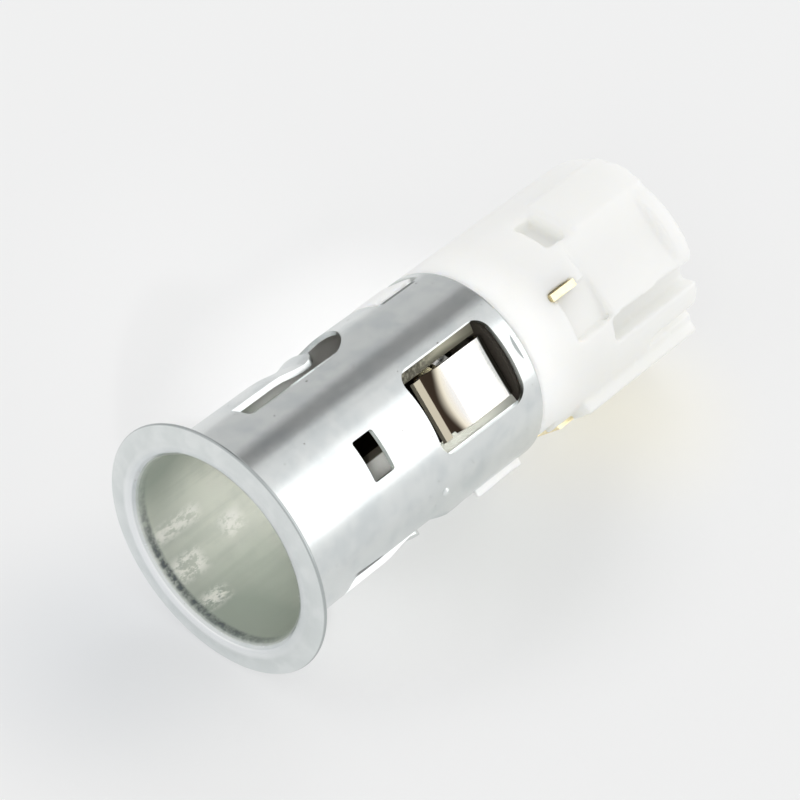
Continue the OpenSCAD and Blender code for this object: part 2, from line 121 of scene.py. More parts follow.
class Sheet:
    """One material while its nodes are laid out, with a short call for each kind of node."""

    def __init__(self, name: str) -> None:
        """Starts a material with its Principled shader."""
        self.material = bpy.data.materials.new(name)
        self.material.use_nodes = True
        self.tree = self.material.node_tree
        self.shader = self.tree.nodes["Principled BSDF"]
        self._feed: Socket | None = None

    def node(self, kind: str) -> bpy.types.Node:
        """Adds a node of that kind."""
        return self.tree.nodes.new(kind)

    def join(self, source: Socket | float | Colour, target: Socket) -> None:
        """Links a socket to an input, or writes a plain value there."""
        if isinstance(source, bpy.types.NodeSocket):
            self.tree.links.new(source, target)
        elif isinstance(source, tuple) and len(target.default_value) == 4:
            target.default_value = (*source, 1.0)
        else:
            target.default_value = source

    def feed(self, name: str, source: Socket | float | Colour) -> None:
        """Sets or links one input of the shader."""
        self.join(source, self.shader.inputs[name])

    def maths(
        self, operation: str, a: Socket | float, b: Socket | float = 0.0
    ) -> Socket:
        """Adds a Math node and returns its result."""
        node = self.node("ShaderNodeMath")
        node.operation = operation
        self.join(a, node.inputs[0])
        self.join(b, node.inputs[1])
        if operation == "WRAP":
            node.inputs[2].default_value = -node.inputs[1].default_value
        return node.outputs[0]

    def times(self, a: Socket | float, b: Socket | float) -> Socket:
        """Multiplies two values."""
        return self.maths("MULTIPLY", a, b)

    def away(self, angle: Socket, middle: float) -> Socket:
        """Returns how many degrees an angle lies from a middle, either way round."""
        off = self.maths("SUBTRACT", angle, middle)
        return self.maths("ABSOLUTE", self.maths("WRAP", off, 180.0))

    def step(
        self,
        value: Socket,
        low: float,
        high: float,
        to_low: float = 0.0,
        to_high: float = 1.0,
    ) -> Socket:
        """Turns a value into a soft step.

        Args:
            value: the value to read.
            low: where the step begins.
            high: where it ends.
            to_low: the result before it.
            to_high: the result after it.

        Returns:
            The stepped value.
        """
        node = self.node("ShaderNodeMapRange")
        node.interpolation_type = "SMOOTHSTEP"
        for name, number in (
            ("From Min", low),
            ("From Max", high),
            ("To Min", to_low),
            ("To Max", to_high),
        ):
            node.inputs[name].default_value = number
        self.join(value, node.inputs["Value"])
        return node.outputs[0]

    def band(self, value: Socket, middle: float, half: float, soft: float) -> Socket:
        """Returns 1 where value lies within half of middle, fading out over soft."""
        off = self.maths("ABSOLUTE", self.maths("SUBTRACT", value, middle))
        return self.step(off, half, half + soft, 1.0, 0.0)

    def patch(self, angle: Socket, height: Socket, spot: Patch) -> Socket:
        """Returns 1 inside a soft-edged patch of the tube.

        Args:
            angle: degrees round the axis.
            height: millimetres from the mouth.
            spot: middle, half width and softness, by angle and then by height.

        Returns:
            1 inside, 0 outside.
        """
        return self.times(self.band(angle, *spot[0]), self.band(height, *spot[1]))

    def blend(
        self, share: Socket | float, a: Socket | Colour, b: Socket | Colour
    ) -> Socket:
        """Mixes two colours by a share and returns the colour."""
        node = self.node("ShaderNodeMix")
        node.data_type = "RGBA"
        self.join(share, node.inputs[0])
        self.join(a, node.inputs[6])
        self.join(b, node.inputs[7])
        return node.outputs[2]

    def noise(
        self, where: Socket, scale: float, detail: float = 3.0, rough: float = 0.55
    ) -> Socket:
        """Adds a noise texture and returns its grey value."""
        node = self.node("ShaderNodeTexNoise")
        node.inputs["Scale"].default_value = scale
        node.inputs["Detail"].default_value = detail
        node.inputs["Roughness"].default_value = rough
        self.join(where, node.inputs["Vector"])
        return node.outputs[0]

    def point(self) -> Socket:
        """Returns this place in the socket's own frame, in millimetres."""
        if self._feed is None:
            back = SPACE.to_row().inverted()
            coords = self.node("ShaderNodeTexCoord")
            node = self.node("ShaderNodeMapping")
            node.inputs["Scale"].default_value = (1 / MM,) * 3
            node.inputs["Rotation"].default_value = back.to_euler("XYZ")
            node.inputs["Location"].default_value = back.translation
            self.join(coords.outputs["Object"], node.inputs["Vector"])
            self._feed = node.outputs[0]
        return self._feed

    def polar(self) -> tuple[Socket, Socket, Socket]:
        """Returns the angle in degrees, the radius and the height of this place."""
        parts = self.node("ShaderNodeSeparateXYZ")
        self.join(self.point(), parts.inputs[0])
        x, y, z = parts.outputs
        radius = self.maths(
            "SQRT",
            self.maths("ADD", self.times(x, x), self.times(y, y)),
        )
        angle = self.times(self.maths("ARCTAN2", y, x), math.degrees(1))
        return angle, radius, z

    def inward(self) -> Socket:
        """Returns how far the surface faces the axis: 1 towards it, -1 away from it."""
        back = SPACE.to_row().inverted()
        geometry = self.node("ShaderNodeNewGeometry")
        turn = self.node("ShaderNodeMapping")
        turn.vector_type = "VECTOR"
        turn.inputs["Rotation"].default_value = back.to_euler("XYZ")
        self.join(geometry.outputs["Normal"], turn.inputs["Vector"])
        flat = self.node("ShaderNodeVectorMath")
        flat.operation = "MULTIPLY"
        self.join(self.point(), flat.inputs[0])
        flat.inputs[1].default_value = (-1, -1, 0)
        unit = self.node("ShaderNodeVectorMath")
        unit.operation = "NORMALIZE"
        self.join(flat.outputs[0], unit.inputs[0])
        dot = self.node("ShaderNodeVectorMath")
        dot.operation = "DOT_PRODUCT"
        self.join(unit.outputs[0], dot.inputs[0])
        self.join(turn.outputs[0], dot.inputs[1])
        return dot.outputs["Value"]

    def stretched(self, across: float, along: float) -> Socket:
        """Returns the place squeezed along the axis, for streaks that run along the tube.

        Args:
            across: texture units for each millimetre across the axis.
            along: texture units for each millimetre along it.

        Returns:
            The squeezed place.
        """
        node = self.node("ShaderNodeMapping")
        node.inputs["Scale"].default_value = (across, across, along)
        self.join(self.point(), node.inputs["Vector"])
        return node.outputs[0]

    def bump(self, height: Socket, distance: float, strength: float = 1.0) -> None:
        """Raises the surface by a height.

        Args:
            height: the height, from 0 to 1.
            distance: how high 1 stands, in millimetres.
            strength: share of the effect.
        """
        node = self.node("ShaderNodeBump")
        node.inputs["Distance"].default_value = distance * MM
        node.inputs["Strength"].default_value = strength
        self.join(height, node.inputs["Height"])
        self.join(node.outputs[0], self.shader.inputs["Normal"])


@dataclass(frozen=True)
class PlatedSteel:
    """Bright zinc plate on drawn sheet steel, duller and greener inside the bore.

    Lengths are millimetres and sides are degrees round the axis. Each scuff mark gives its
    middle and half its width in degrees, then where it starts and how long it runs. The
    shade patch is painted shade on the bore's wall, and the lit patches are painted light
    on the far wall, seen through the small window and the left slot.
    """

    plate: Colour = (0.755, 0.78, 0.775)
    dull: Colour = (0.67, 0.705, 0.71)
    flange: Colour = (0.74, 0.775, 0.77)
    pale_flange: Colour = (0.85, 0.875, 0.87)
    rim_shadow: Colour = (0.38, 0.41, 0.41)
    # painted highlight on the flange's bend
    bright: Colour = (0.95, 0.965, 0.97)
    bore: Colour = (0.80, 0.815, 0.72)
    # painted shade colour of the bore, also used for its random grain streaks
    shade: Colour = (0.40, 0.445, 0.38)
    # painted shade further into the bore
    deep_shading: Colour = (0.09, 0.08, 0.06)
    # painted light on the far wall where the small window and the left slot look in
    lit: Colour = (0.97, 0.97, 0.95)
    # painted shade just inside the mouth's rolled edge
    lip_shade: Colour = (0.08, 0.095, 0.10)
    fleck: Colour = (0.42, 0.42, 0.40)
    # painted shadow colour for the gaps at the rear latch slot and the right tongue
    gap_shadow: Colour = (0.10, 0.105, 0.10)
    # rub marks: real wear, painted near white as a stand-in for their glint
    scuff: Colour = (1.0, 0.99, 0.93)
    scuff_share: float = 0.85
    scuff_marks: tuple[tuple[float, float, float, float], ...] = (
        (-164.0, 3.0, 1.6, 5.5),
        (173.0, 5.0, 1.7, 3.2),
        (150.0, 3.0, 1.8, 2.6),
        (178.0, 4.5, 9.2, 2.2),
    )
    roughness: float = 0.24
    bore_roughness: float = 0.5
    bore_metal: float = 0.1
    wall_mid: float = 10.8
    deep_from: float = 14.0
    deep_to: float = 20.0
    mouth_corner: float = 0.95
    lip_shade_side: float = 160.0
    highlight_side: float = 165.0
    painted_lit_side: float = -170.0
    tube_end: float = 11.12
    bend_radius: float = 11.35
    rim_start: float = 14.06
    # places of the painted gap shadows, by angle and then by height
    latch_line: Patch = ((-72.0, 1.1, 0.5), (32.9, 2.2, 0.5))
    tongue_line: Patch = ((51.6, 1.1, 0.6), (10.8, 1.5, 0.9))
    tongue_slant: float = 0.57
    gap_shadow_share: float = 0.8
    # a patch of painted shade on the bore's wall
    shade_patch: Patch = ((152.0, 13.0, 14.0), (9.2, 2.0, 3.4))
    shade_patch_share: float = 0.32
    lit_front: Patch = ((147.0, 10.5, 1.2), (28.5, 3.6, 2.0))
    lit_back: Patch = ((-122.0, 20.0, 12.0), (21.0, 7.0, 6.0))

    def material(self) -> bpy.types.Material:
        """Returns the finished material."""
        sheet = Sheet("zinc_plate")
        angle, radius, height = sheet.polar()
        near_axis = sheet.step(radius, self.wall_mid, self.wall_mid + 0.4, 1.0, 0.0)
        inside = sheet.times(sheet.step(sheet.inward(), 0.6, 0.92), near_axis)
        streaks = sheet.noise(sheet.stretched(0.9, 0.06), 1.0, 3.0, 0.5)
        mottle = sheet.noise(sheet.point(), 0.35, 3.0, 0.5)
        specks = sheet.step(sheet.noise(sheet.point(), 1.7, 2.0, 0.4), 0.74, 0.78)
        outside = sheet.blend(sheet.step(mottle, 0.35, 0.75), self.plate, self.dull)
        outside = sheet.blend(specks, outside, self.fleck)
        outside = sheet.blend(self.gaps(sheet, angle, height), outside, self.gap_shadow)
        outside = self.flange_colour(sheet, angle, radius, mottle, outside)
        bore = self.bore_colour(sheet, angle, height, streaks, mottle)
        colour = sheet.blend(inside, outside, bore)
        scuffs = sheet.times(self.scuffs(sheet, angle, height), inside)
        colour = sheet.blend(scuffs, colour, self.scuff)
        # painted shade: a dark band just inside the mouth's rolled edge, on one side and ragged
        far = sheet.step(sheet.away(angle, self.lip_shade_side), 20.0, 95.0, 1.0, 0.12)
        ragged = sheet.step(sheet.noise(sheet.point(), 1.6, 4.0, 0.7), 0.36, 0.62, 0.45, 1.0)
        far = sheet.times(far, ragged)
        corner = sheet.band(height, self.mouth_corner, 0.14, 0.48)
        corner = sheet.times(corner, sheet.step(radius, 11.0, 11.4, 1.0, 0.0))
        corner = sheet.times(corner, far)
        sheet.feed("Base Color", sheet.blend(corner, colour, self.lip_shade))
        sheet.feed("Metallic", sheet.step(inside, 0.0, 1.0, 1.0, self.bore_metal))
        rough = sheet.step(streaks, 0.3, 0.7, self.roughness - 0.02, self.roughness + 0.03)
        bore_rough = sheet.times(inside, self.bore_roughness - self.roughness)
        sheet.feed("Roughness", sheet.maths("ADD", rough, bore_rough))
        sheet.bump(streaks, 0.004, 0.12)
        return sheet.material

    def gaps(self, sheet: Sheet, angle: Socket, height: Socket) -> Socket:
        """Lays the painted shadow lines in the gaps along the rear latch slot and the right
        tongue.

        Args:
            sheet: the material under construction.
            angle: degrees round the axis.
            height: millimetres from the mouth.

        Returns:
            Share of the grime.
        """
        latch = sheet.patch(angle, height, self.latch_line)
        slanted = sheet.maths("SUBTRACT", angle, sheet.times(height, self.tongue_slant))
        tongue = sheet.patch(slanted, height, self.tongue_line)
        return sheet.times(sheet.maths("MAXIMUM", latch, tongue), self.gap_shadow_share)

    def flange_colour(
        self, sheet: Sheet, angle: Socket, radius: Socket, mottle: Socket, tube: Socket
    ) -> Socket:
        """Lays the flange's mottled plate, a painted highlight along its bend on one side, and a
        painted shadow line under its outer edge, mostly on the other sides.

        Args:
            sheet: the material under construction.
            angle: degrees round the axis.
            radius: millimetres from the axis.
            mottle: soft grey clouds.
            tube: the colour of the tube behind it.

        Returns:
            The colour of the tube and flange.
        """
        cloud = sheet.times(sheet.step(mottle, 0.38, 0.66), 0.6)
        plate = sheet.blend(cloud, self.flange, self.pale_flange)
        # painted highlight along the bend, strongest round one side
        low = sheet.step(sheet.away(angle, self.highlight_side), 30.0, 110.0, 1.0, 0.15)
        bend = sheet.times(sheet.band(radius, self.bend_radius, 0.45, 0.6), low)
        plate = sheet.blend(bend, plate, self.bright)
        # painted shadow line under the flange's outer edge, strongest away from the highlight side
        rim = sheet.step(radius, self.rim_start, self.rim_start + 0.1)
        edge = sheet.times(rim, sheet.step(low, 0.2, 0.8, 0.8, 0.1))
        plate = sheet.blend(edge, plate, self.rim_shadow)
        return sheet.blend(sheet.step(radius, self.tube_end, self.tube_end + 0.18), tube, plate)

    def bore_colour(
        self, sheet: Sheet, angle: Socket, height: Socket, streaks: Socket, mottle: Socket
    ) -> Socket:
        """Lays the bore's colour, with painted shade that darkens it round the axis, near the
        mouth and further in, and painted light patches on the far wall.

        Args:
            sheet: the material under construction.
            angle: degrees round the axis.
            height: millimetres from the mouth.
            streaks: grey lines along the axis.
            mottle: soft grey clouds.

        Returns:
            The colour.
        """
        # painted light and shade: lighter towards one side of the bore, darker away from it and
        # near the mouth
        off = sheet.step(sheet.away(angle, self.painted_lit_side), 12.0, 62.0, 0.0, 0.8)
        dim = sheet.maths("ADD", off, sheet.step(height, 2.0, 9.5, 0.5, 0.0))
        tone = sheet.blend(sheet.maths("MINIMUM", dim, 1.0), self.bore, self.shade)
        grain = sheet.maths("ADD", streaks, sheet.times(mottle, 0.8))
        grain = sheet.step(grain, 0.75, 1.15, 0.0, 0.3)
        tone = sheet.blend(grain, tone, self.shade)
        # painted shade patch on the bore's wall
        shade_patch = sheet.patch(angle, height, self.shade_patch)
        tone = sheet.blend(sheet.times(shade_patch, self.shade_patch_share), tone, self.shade)
        # painted light patches on the far wall, seen through the small window and the left slot
        front = sheet.patch(angle, height, self.lit_front)
        back = sheet.patch(angle, height, self.lit_back)
        back = sheet.times(back, sheet.step(height, 23.0, 27.0, 0.85, 0.45))
        # painted shade further in, with the painted light patches laid over it
        deep_shading = sheet.blend(sheet.maths("MAXIMUM", front, back), self.deep_shading, self.lit)
        return sheet.blend(sheet.step(height, self.deep_from, self.deep_to), tone, deep_shading)

    def scuffs(self, sheet: Sheet, angle: Socket, height: Socket) -> Socket:
        """Lays the plug's rub marks on the bore's lower wall, painted near white to stand in for
        their glint as well as their bare metal.

        Args:
            sheet: the material under construction.
            angle: degrees round the axis.
            height: millimetres from the mouth.

        Returns:
            Share of the bare bright metal.
        """
        grain = sheet.noise(sheet.stretched(1.5, 0.75), 1.0, 5.0, 0.75)
        broken = sheet.step(grain, 0.42, 0.56)
        total: Socket | None = None
        for middle, half, start, length in self.scuff_marks:
            off = sheet.away(angle, middle)
            across = sheet.step(off, half - 2.0, half + 5.0, 1.0, 0.0)
            along = sheet.band(height, start + length / 2, length / 2 - 0.6, 1.8)
            patch = sheet.times(across, along)
            total = patch if total is None else sheet.maths("MAXIMUM", total, patch)
        return sheet.times(total, sheet.times(broken, self.scuff_share))


@dataclass(frozen=True)
class Nylon:
    """Natural white nylon, which lets a little light through."""

    body: Colour = (0.925, 0.93, 0.885)
    pale: Colour = (0.95, 0.95, 0.915)
    roughness: float = 0.42

    def material(self) -> bpy.types.Material:
        """Returns the finished material."""
        sheet = Sheet("white_nylon")
        cloud = sheet.noise(sheet.point(), 0.25, 3.0, 0.5)
        colour = sheet.blend(cloud, self.body, self.pale)
        sheet.feed("Base Color", colour)
        rough = sheet.step(cloud, 0.3, 0.7, self.roughness - 0.04, self.roughness + 0.06)
        sheet.feed("Roughness", rough)
        sheet.feed("Subsurface Weight", 0.7)
        sheet.feed("Subsurface Scale", 3.5 * MM)
        sheet.feed("Subsurface Radius", (1.0, 0.95, 0.85))
        grain = sheet.noise(sheet.point(), 6.0, 2.0, 0.5)
        sheet.bump(grain, 0.01, 0.3)
        return sheet.material


@dataclass(frozen=True)
class Polished:
    """A bright smooth metal with faint drawing lines."""

    name: str
    colour: Colour
    worn: Colour
    roughness: float

    def material(self) -> bpy.types.Material:
        """Returns the finished material."""
        return self.lay().material

    def lay(self) -> Sheet:
        """Lays out the metal and returns the sheet, so that it can be worked further."""
        sheet = Sheet(self.name)
        cloud = sheet.noise(sheet.point(), 0.8, 4.0, 0.6)
        sheet.feed("Base Color", sheet.blend(sheet.step(cloud, 0.4, 0.75), self.colour, self.worn))
        sheet.feed("Metallic", 1.0)
        lines = sheet.noise(sheet.stretched(8.0, 0.4), 1.0, 2.0, 0.5)
        rough = sheet.step(lines, 0.3, 0.7, self.roughness * 0.8, self.roughness * 1.25)
        sheet.feed("Roughness", rough)
        sheet.bump(lines, 0.004, 0.3)
        return sheet


@dataclass(frozen=True)
class SpringNickel(Polished):
    """Nickel plate with a painted dark reflection in the spring finger's valley, painted shade on
    the finger's rear bend and on the far finger, and a warm fringe behind the valley.

    The places are heights in millimetres, haze is a roughness, and arc is the leaf's width
    for each degree round the axis.
    """

    # painted dark reflection in the valley and painted shade on the far finger
    dark_reflection_and_shade: Colour = (0.045, 0.032, 0.022)
    # painted shade on the finger's rear bend
    grey: Colour = (0.32, 0.32, 0.30)
    warm: Colour = (1.0, 0.92, 0.74)
    ridge: Colour = (0.40, 0.365, 0.285)
    bare: Colour = (1.0, 0.985, 0.955)
    ridge_end: float = 25.3
    valley_front: float = 25.55
    valley_back: float = 26.35
    flat_end: float = 33.55
    haze: float = 0.34
    arc: float = 0.17

    def lay(self) -> Sheet:
        """Lays the painted dark reflection, the painted shade and the warm fringe over the plain
        metal.
        """
        sheet = super().lay()
        base = sheet.shader.inputs["Base Color"].links[0].from_socket
        angle, _, height = sheet.polar()
        across = sheet.times(angle, self.arc)
        front = self.bowed(sheet, across, 0.0, 0.005, self.valley_front)
        back = self.bowed(sheet, across, 0.8, 0.045, self.valley_back)
        past_front = sheet.maths("SUBTRACT", height, front)
        past_back = sheet.maths("SUBTRACT", height, back)
        # painted dark reflection along the finger's valley
        valley = sheet.times(
            sheet.step(past_front, -0.1, 0.15),
            sheet.step(past_back, -0.2, 0.6, 1.0, 0.0),
        )
        fringe = sheet.step(past_back, 0.2, 1.4, 1.0, 0.0)
        colour = sheet.blend(sheet.step(height, 25.0, 26.0), base, self.bare)
        colour = sheet.blend(fringe, colour, self.warm)
        ridge = sheet.step(height, self.ridge_end, self.ridge_end + 0.3, 1.0, 0.0)
        colour = sheet.blend(ridge, colour, self.ridge)
        colour = sheet.blend(valley, colour, self.dark_reflection_and_shade)
        # painted shade on the finger's rear bend
        bend = sheet.step(height, self.flat_end, self.flat_end + 0.15)
        colour = sheet.blend(bend, colour, self.grey)
        rough = sheet.shader.inputs["Roughness"].links[0].from_socket
        hazy = sheet.step(past_back, 0.0, 2.6, self.haze, 0.0)
        sheet.feed("Roughness", sheet.maths("MAXIMUM", rough, hazy))
        # painted shade on the far finger, 40 to 60 degrees and more from the leaf
        side = sheet.step(sheet.maths("ABSOLUTE", angle), 40.0, 60.0)
        sheet.feed("Base Color", sheet.blend(side, colour, self.dark_reflection_and_shade))
        return sheet

    def bowed(
        self, sheet: Sheet, across: Socket, middle: float, bow: float, start: float
    ) -> Socket:
        """Finds the height of a bowed line over the leaf.

        Args:
            sheet: the material under construction.
            across: millimetres from the leaf's middle.
            middle: where the line comes nearest the mouth.
            bow: how fast it moves away beside that.
            start: its height there.

        Returns:
            The line's height at this place.
        """
        off = sheet.maths("SUBTRACT", across, middle)
        off = sheet.times(off, off)
        return sheet.maths("ADD", sheet.times(off, bow), start)


@dataclass(frozen=True)
class DullSteel:
    """The sheet's matt inner side where it stands in the window's light: pale on the lower strip,
    dark olive with spots on the upper one, and painted shade towards the rear and beside the leaf.
    """

    pale: Colour = (0.70, 0.715, 0.63)
    olive: Colour = (0.36, 0.35, 0.265)
    # dark colour for the spots and for the painted shade
    stain_and_shade: Colour = (0.07, 0.065, 0.045)

    def material(self) -> bpy.types.Material:
        """Returns the finished material."""
        sheet = Sheet("dull_steel")
        angle, _, height = sheet.polar()
        upper = sheet.step(angle, -4.0, 4.0, 1.0, 0.0)
        cloud = sheet.noise(sheet.point(), 1.1, 4.0, 0.65)
        front = sheet.step(height, 25.5, 30.0, 1.0, 0.0)
        blots = sheet.noise(sheet.point(), 2.3, 3.0, 0.6)
        spots = sheet.times(sheet.step(blots, 0.38, 0.54, 0.45, 1.0), front)
        # painted shade on the upper strip beside the leaf
        under = sheet.times(sheet.step(angle, -26.0, -22.5), 0.75)
        # painted shade towards the rear
        rear = sheet.step(height, 29.5, 34.0)
        stained = sheet.maths("MAXIMUM", spots, sheet.times(rear, 0.6))
        stained = sheet.maths("MAXIMUM", stained, under)
        olive = sheet.blend(stained, self.olive, self.stain_and_shade)
        # a half-bright copy of the pale colour, painted as shade towards the rear
        pale = sheet.blend(
            sheet.times(rear, 0.85), self.pale, tuple(v * 0.5 for v in self.pale)
        )
        sheet.feed("Base Color", sheet.blend(upper, pale, olive))
        sheet.feed("Metallic", 0.2)
        sheet.feed("Roughness", sheet.step(cloud, 0.3, 0.7, 0.5, 0.62))
        sheet.bump(cloud, 0.01, 0.3)
        return sheet.material


@dataclass(frozen=True)
class Fibre:
    """Pressed fibre board."""

    board: Colour = (0.022, 0.019, 0.015)

    def material(self) -> bpy.types.Material:
        """Returns the finished material."""
        sheet = Sheet("fibre")
        hair = sheet.noise(sheet.point(), 4.0, 5.0, 0.7)
        sheet.feed("Base Color", sheet.blend(hair, self.board, (0.05, 0.042, 0.032)))
        sheet.feed("Roughness", 0.8)
        sheet.bump(hair, 0.03, 0.5)
        return sheet.material


def deselect() -> None:
    """Leaves nothing selected."""
    bpy.ops.object.select_all(action="DESELECT")


def activate(piece: bpy.types.Object) -> None:
    """Makes one piece the only selected and active object."""
    deselect()
    piece.select_set(True)
    bpy.context.view_layer.objects.active = piece


def finish_piece(
    piece: bpy.types.Object, material: bpy.types.Material
) -> None:
    """Rides a piece on the socket and gives it its slot and material."""
    piece.data.materials.clear()
    piece.data.materials.append(material)
    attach(piece, "root")
    LOG.info("%s: %d faces", piece.name, len(piece.data.polygons))


def merged_copy(node: str, name: str) -> bpy.types.Object:
    """Copies a CAD node and merges the copy's loose triangles.

    Args:
        node: the CAD node that the piece stands for.
        name: the new piece's name.

    Returns:
        The new piece, in edit mode with all of it selected.
    """
    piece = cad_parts[node].copy()
    piece.data = piece.data.copy()
    piece.name = name
    for key in list(piece.keys()):
        del piece[key]
    piece.parent = None
    bpy.context.scene.collection.objects.link(piece)
    activate(piece)
    bpy.ops.object.mode_set(mode="EDIT")
    bpy.ops.mesh.select_all(action="SELECT")
    bpy.ops.mesh.customdata_custom_splitnormals_clear()
    bpy.ops.mesh.remove_doubles(threshold=0.002 * MM)
    bpy.ops.mesh.mark_sharp(clear=True)
    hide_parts(node)
    return piece


def apply(piece: bpy.types.Object, kind: str, **settings: float | int | str | bool) -> None:
    """Adds a modifier with its settings and applies it."""
    modifier = piece.modifiers.new(kind.lower(), kind)
    for key, value in settings.items():
        setattr(modifier, key, value)
    bpy.ops.object.modifier_apply(modifier=modifier.name)


def moulded_copy(node: str, name: str, voxel: float, rounds: int) -> bpy.types.Object:
    """Copies a CAD node as one soft-edged moulding.

    Args:
        node: the CAD node that the piece stands for.
        name: the new piece's name.
        voxel: size of its even net of faces, in millimetres.
        rounds: how often the net is smoothed.

    Returns:
        The new piece.
    """
    piece = merged_copy(node, name)
    bpy.ops.object.mode_set(mode="OBJECT")
    apply(piece, "REMESH", mode="VOXEL", voxel_size=voxel * MM, use_smooth_shade=True)
    apply(piece, "SMOOTH", factor=0.5, iterations=rounds)
    return piece


def dress_node(node: str, material: bpy.types.Material) -> None:
    """Gives a CAD node that keeps its shape its finish."""
    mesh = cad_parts[node].data
    mesh.materials.clear()
    mesh.materials.append(material)
    LOG.info("%s keeps its CAD shape", node)


@dataclass
class SpringClip:
    """The clip with its two fingers, whose bends run smoothly into their flats."""

    moves: tuple[tuple[float, float, float], ...] = (
        (24.5, -0.12, -0.35),
        (25.1, 0.28, 0.0),
        (26.75, 0.1, 0.0),
        (27.5, 0.07, 0.0),
    )
    reach: float = 0.22
    crease: float = 50.0

    def build(self, material: bpy.types.Material) -> None:
        """Copies the CAD clip, eases the bends outward and dresses the copy."""
        piece = merged_copy("contact_clip", "spring_clip")
        bpy.ops.object.mode_set(mode="OBJECT")
        row = SPACE.to_row()
        back = row.inverted()
        for vertex in piece.data.vertices:
            local = back @ (vertex.co / MM)
            for height, lift, shift in self.moves:
                if abs(local.z - height) < self.reach:
                    step = Vector((lift * math.copysign(1, local.x), 0, shift))
                    vertex.co += row.to_3x3() @ step * MM
                    break
        bpy.ops.object.shade_smooth_by_angle(angle=math.radians(self.crease))
        finish_piece(piece, material)


@dataclass
class WindowLining:
    """The sheet's turned-in edges along both sides of the large window.

    Each strip slopes from its inner radius and angle to its outer ones, in millimetres and
    in degrees from the window's middle.
    """

    inner_radius: float = 9.3
    outer_radius: float = 10.4
    wall: float = 0.2
    start: float = 22.7
    end: float = 34.6
    inner: float = 21.7
    outer: float = 30.2
    cuts: int = 7
    crease: float = 40.0

    def side(self, name: str, sign: int) -> bpy.types.Object:
        """Builds one sloping strip.

        Args:
            name: the strip's name.
            sign: 1 for the side of rising angle, -1 for the other.

        Returns:
            The strip.
        """
        deselect()
        bpy.ops.mesh.primitive_plane_add(size=1, location=(0, 0, 0))
        strip = bpy.context.object
        strip.name = name
        bpy.ops.object.mode_set(mode="EDIT")
        bpy.ops.mesh.select_all(action="SELECT")
        bpy.ops.mesh.subdivide(number_cuts=self.cuts)
        bpy.ops.object.mode_set(mode="OBJECT")
        for vertex in strip.data.vertices:
            share = vertex.co.x * sign + 0.5
            angle = sign * (self.inner + share * (self.outer - self.inner))
            radius = self.inner_radius + share * (self.outer_radius - self.inner_radius)
            height = self.start + (vertex.co.y + 0.5) * (self.end - self.start)
            vertex.co = SPACE.place(angle, radius, height)
        activate(strip)
        apply(strip, "SOLIDIFY", thickness=self.wall * MM, offset=-1.0)
        bpy.ops.object.mode_set(mode="EDIT")
        bpy.ops.mesh.select_all(action="SELECT")
        bpy.ops.mesh.normals_make_consistent(inside=False)
        bpy.ops.object.mode_set(mode="OBJECT")
        bpy.ops.object.shade_smooth_by_angle(angle=math.radians(self.crease))
        return strip

    def build(self, material: bpy.types.Material) -> None:
        """Builds and dresses both strips."""
        for name, sign in (("window_lining_upper", -1), ("window_lining_lower", 1)):
            finish_piece(self.side(name, sign), material)


def unit(azimuth: float, elevation: float) -> Vector:
    """Returns the unit vector at an azimuth and an elevation, both in degrees."""
    a, e = math.radians(azimuth), math.radians(elevation)
    return Vector((math.cos(a) * math.cos(e), math.sin(a) * math.cos(e), math.sin(e)))


def hang(data: bpy.types.Light, place: Vector, towards: Vector) -> bpy.types.Object:
    """Hangs a lamp that gloss doesn't show.

    Args:
        data: the lamp's light.
        place: where it hangs.
        towards: unit vector from what it lights to the lamp.

    Returns:
        The lamp.
    """
    lamp = bpy.data.objects.new(data.name, data)
    bpy.context.scene.collection.objects.link(lamp)
    turn = towards.to_track_quat("Z", "Y").to_matrix().to_4x4()
    lamp.matrix_world = Matrix.Translation(place) @ turn
    lamp.visible_glossy = False
    return lamp


def seen_rays(tree: bpy.types.NodeTree) -> Socket:
    """Finds the rays that show a background: straight, glossy and through clear matter.

    Args:
        tree: the nodes to add to.

    Returns:
        1 for such a ray, 0 for the others.
    """
    path = tree.nodes.new("ShaderNodeLightPath")
    total = path.outputs["Is Camera Ray"]
    for kind in ("Is Glossy Ray", "Is Transmission Ray"):
        both = tree.nodes.new("ShaderNodeMath")
        both.operation = "MAXIMUM"
        tree.links.new(total, both.inputs[0])
        tree.links.new(path.outputs[kind], both.inputs[1])
        total = both.outputs[0]
    return total


